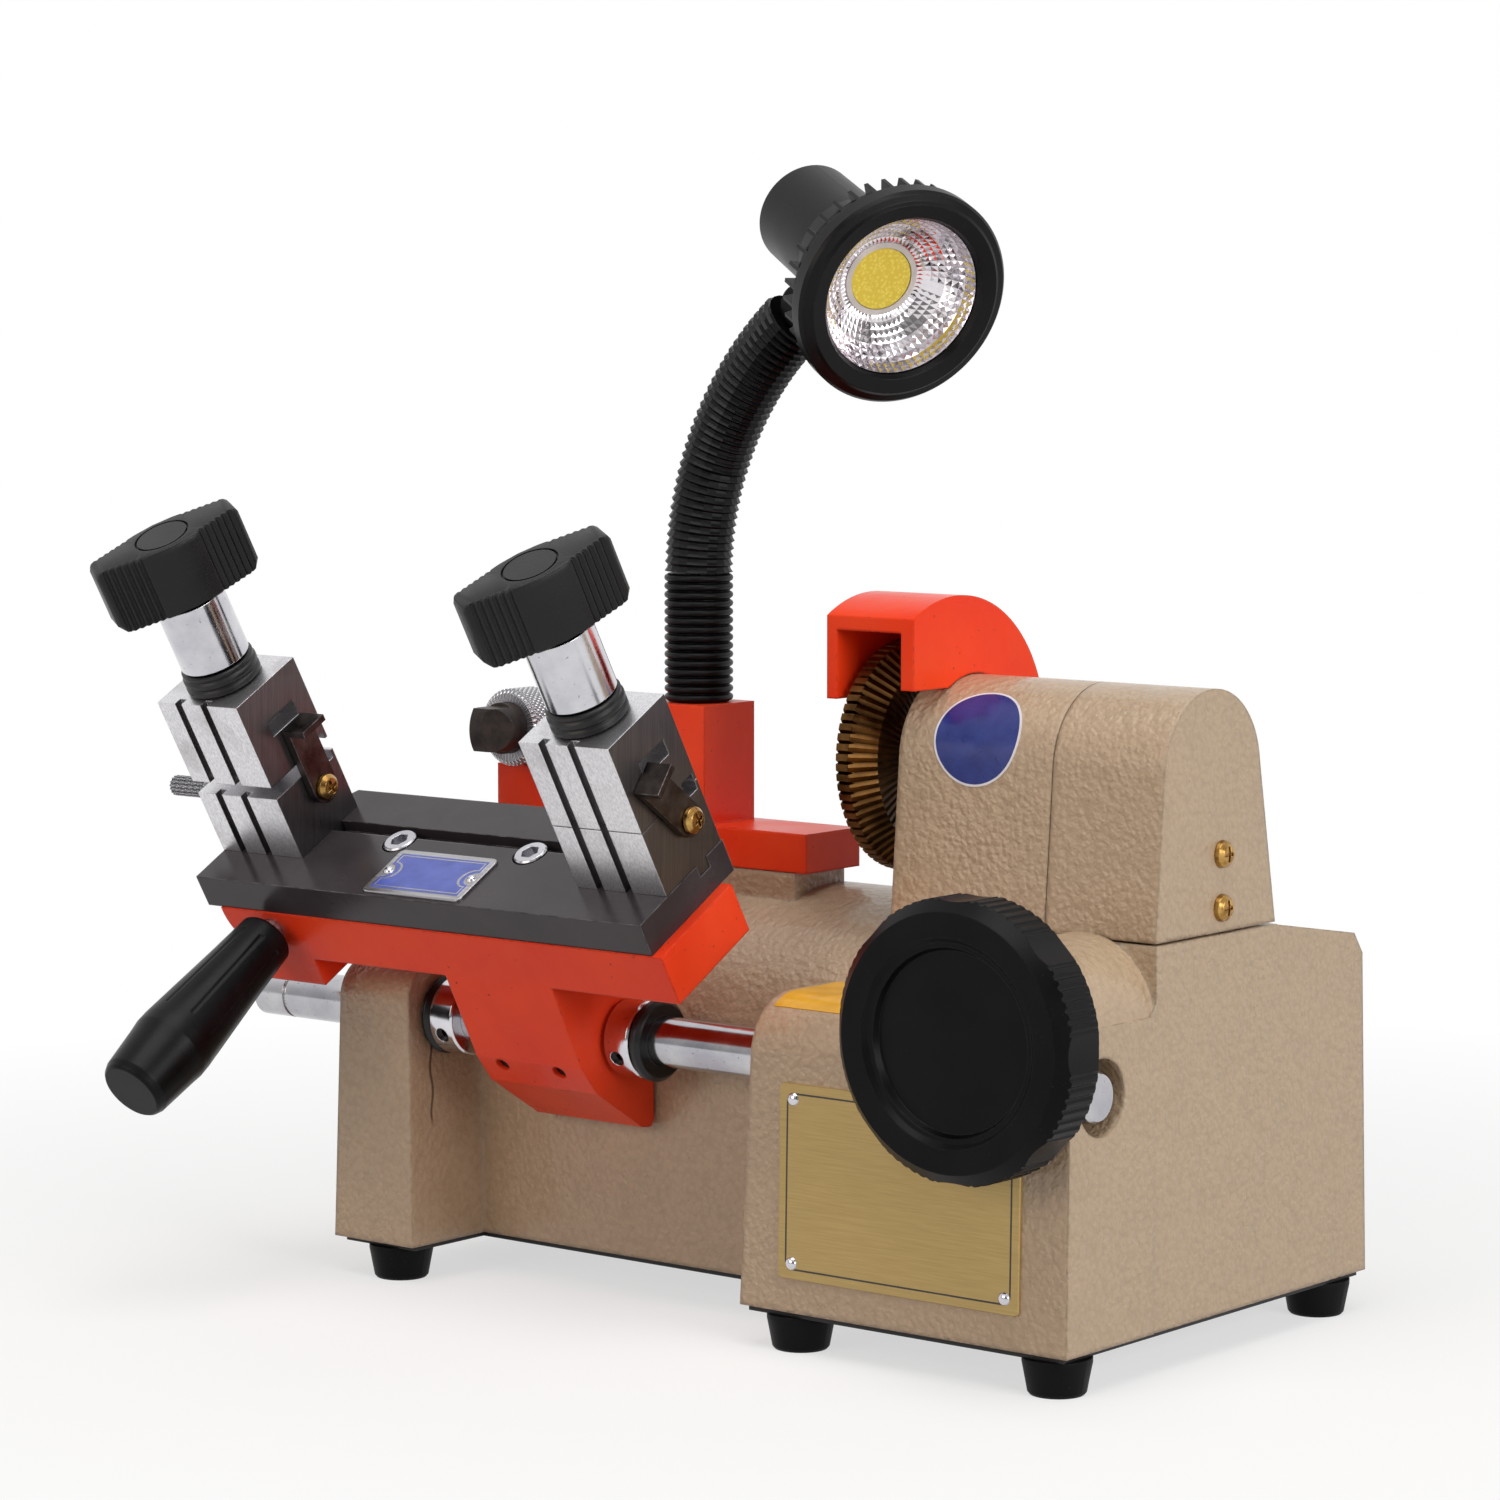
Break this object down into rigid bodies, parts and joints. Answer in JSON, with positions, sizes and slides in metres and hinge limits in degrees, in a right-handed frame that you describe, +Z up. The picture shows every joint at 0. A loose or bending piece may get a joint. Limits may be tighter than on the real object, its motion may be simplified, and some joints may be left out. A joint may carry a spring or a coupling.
{
  "type": "key duplicating machine",
  "caption": "Bench key copying machine with a sliding, swinging two-vise carriage, guarded milling cutter, tracer and gooseneck lamp.",
  "frame": {"origin": "floor level at the middle of the rectangle of the four corner feet", "axes": "+X along the carriage shaft toward the belt cover, +Y away from the operator, +Z up"},
  "size_m": [0.3614, 0.269, 0.365],
  "materials": {
    "casting": "hammertone stoved paint",
    "cover_paint": "hammertone stoved paint",
    "orange_paint": "gloss orange-red paint",
    "black_plate": "black satin, worn edges",
    "ground_steel": "ground bare steel",
    "machine_steel": "turned steel",
    "dark_steel": "black oxide",
    "chrome": "bright chrome",
    "cutter_steel": "tinted tool steel",
    "brass": "bright brass",
    "bronze": "sintered bronze",
    "rubber": "matt black rubber",
    "knob_plastic": "black moulded",
    "wheel_plastic": "glossy black moulded",
    "neck_plastic": "black corrugated",
    "lamp_shell": "satin black shell",
    "reflector": "bright faceted",
    "led": "yellow phosphor",
    "motor_case": "grey",
    "switch_plastic": "black",
    "rocker_plastic": "red"
  },
  "bodies": {
    "base": {"base_casting": "casting", "bottom_plate": "black_plate", "rubber_feet": "rubber", "belt_cover": "cover_paint", "cover_screws": "brass", "motor": "motor_case", "drive_belt": "rubber", "spindle_bearings": "machine_steel", "cutter_guard": "orange_paint", "guard_screws": "dark_steel", "shaft_bushes": "bronze", "pinion_bush": "bronze", "tracer_bracket": "orange_paint", "bracket_bolts": "dark_steel", "tracer_sleeve": "chrome", "tracer_screw": "machine_steel", "neck_lower": "neck_plastic", "neck_bend": "neck_plastic", "power_switch": "switch_plastic", "cable_gland": "rubber"},
    "motor_turning": {"motor_rotor": "machine_steel", "motor_pulley": "machine_steel"},
    "spindle_turning": {"spindle": "machine_steel", "spindle_pulley": "machine_steel", "cutter_wheel": "cutter_steel", "cutter_nut": "machine_steel"},
    "slider": {"bumper_rings": "rubber"},
    "carriage": {"carriage_shaft": "chrome", "stop_collars": "chrome", "collar_screws": "dark_steel", "carriage_bar": "orange_paint", "lug_screws": "dark_steel", "carriage_plate": "black_plate", "plate_bolts": "machine_steel", "vise_studs": "machine_steel", "finger_screws": "brass", "left_lower_jaw": "ground_steel", "right_lower_jaw": "ground_steel", "knurled_pin": "machine_steel", "handle_stud": "machine_steel", "handle_grip": "wheel_plastic"},
    "left_vise_top": {"left_upper_jaw": "ground_steel", "left_washers": "rubber", "left_sleeve": "chrome"},
    "right_vise_top": {"right_upper_jaw": "ground_steel", "right_washers": "rubber", "right_sleeve": "chrome"},
    "left_knob_turning": {"left_knob": "knob_plastic"},
    "right_knob_turning": {"right_knob": "knob_plastic"},
    "left_gauge": {"left_finger": "dark_steel"},
    "right_gauge": {"right_finger": "dark_steel"},
    "wheel": {"handwheel": "wheel_plastic", "pinion_shaft": "machine_steel"},
    "tracer": {"tracer_pin": "dark_steel"},
    "neck": {"neck_upper": "neck_plastic"},
    "lamp": {"lamp_body": "lamp_shell", "lamp_bezel": "lamp_shell", "lamp_reflector": "reflector", "lamp_led": "led"},
    "rocker": {"switch_rocker": "rocker_plastic"}
  },
  "joints": [
    {"name": "shaft_slide", "type": "slide", "parent": "base", "child": "slider", "axis": [1, 0, 0], "range_m": [0, 0.037]},
    {"name": "carriage_swing", "type": "hinge", "parent": "slider", "child": "carriage", "pos_m": [0, -0.064, 0.0883], "axis": [-1, 0, 0], "range_deg": [0, 25]},
    {"name": "wheel_turn", "type": "hinge", "parent": "base", "child": "wheel", "pos_m": [0.1165, -0.064, 0.10693], "axis": [0, -1, 0], "range_deg": [0, 179]},
    {"name": "left_clamp", "type": "slide", "parent": "carriage", "child": "left_vise_top", "axis": [0, -0.5, 0.866], "range_m": [-0.0042, 0.003]},
    {"name": "left_knob_turn", "type": "hinge", "parent": "left_vise_top", "child": "left_knob_turning", "pos_m": [-0.1665, -0.13534, 0.23186], "axis": [0, -0.5, 0.866], "range_deg": [-1009, 721]},
    {"name": "right_clamp", "type": "slide", "parent": "carriage", "child": "right_vise_top", "axis": [0, -0.5, 0.866], "range_m": [0, 0.0075]},
    {"name": "right_knob_turn", "type": "hinge", "parent": "right_vise_top", "child": "right_knob_turning", "pos_m": [-0.01175, -0.13284, 0.22753], "axis": [0, -0.5, 0.866], "range_deg": [0, 1801]},
    {"name": "left_gauge_turn", "type": "hinge", "parent": "carriage", "child": "left_gauge", "pos_m": [-0.1468, -0.09181, 0.16347], "axis": [1, 0, 0], "range_deg": [-10, 60]},
    {"name": "right_gauge_turn", "type": "hinge", "parent": "carriage", "child": "right_gauge", "pos_m": [0.00795, -0.09181, 0.16347], "axis": [1, 0, 0], "range_deg": [-35, 40]},
    {"name": "tracer_set", "type": "slide", "parent": "base", "child": "tracer", "axis": [0, 1, 0], "range_m": [-0.0015, 0.002]},
    {"name": "spindle_spin", "type": "hinge", "parent": "base", "child": "spindle_turning", "pos_m": [0.03, -0.00525, 0.1785], "axis": [1, 0, 0], "continuous": true},
    {"name": "motor_spin", "type": "hinge", "parent": "base", "child": "motor_turning", "pos_m": [0.1, 0.00675, 0.078], "axis": [1, 0, 0], "continuous": true},
    {"name": "neck_flex", "type": "hinge", "parent": "base", "child": "neck", "pos_m": [-0.06071, -0.00125, 0.25024], "axis": [0, 1, 0], "range_deg": [-12, 12], "deforming": ["neck_bend"]},
    {"name": "lamp_tilt", "type": "hinge", "parent": "neck", "child": "lamp", "pos_m": [-0.01652, -0.00125, 0.3193], "axis": [0, 1, 0], "range_deg": [-12, 12]},
    {"name": "switch_rock", "type": "hinge", "parent": "base", "child": "rocker", "pos_m": [-0.096, 0.081, 0.05], "axis": [0, 0, 1], "range_deg": [-14, 0]}
  ],
  "couplings": [
    {"joint": "wheel_turn", "follows": "shaft_slide", "rad_per_m": 84.211},
    {"joint": "left_knob_turn", "follows": "left_clamp", "rad_per_m": 4188.8},
    {"joint": "right_knob_turn", "follows": "right_clamp", "rad_per_m": 4188.8},
    {"joint": "motor_spin", "follows": "spindle_spin", "ratio": 1.2667}
  ]
}
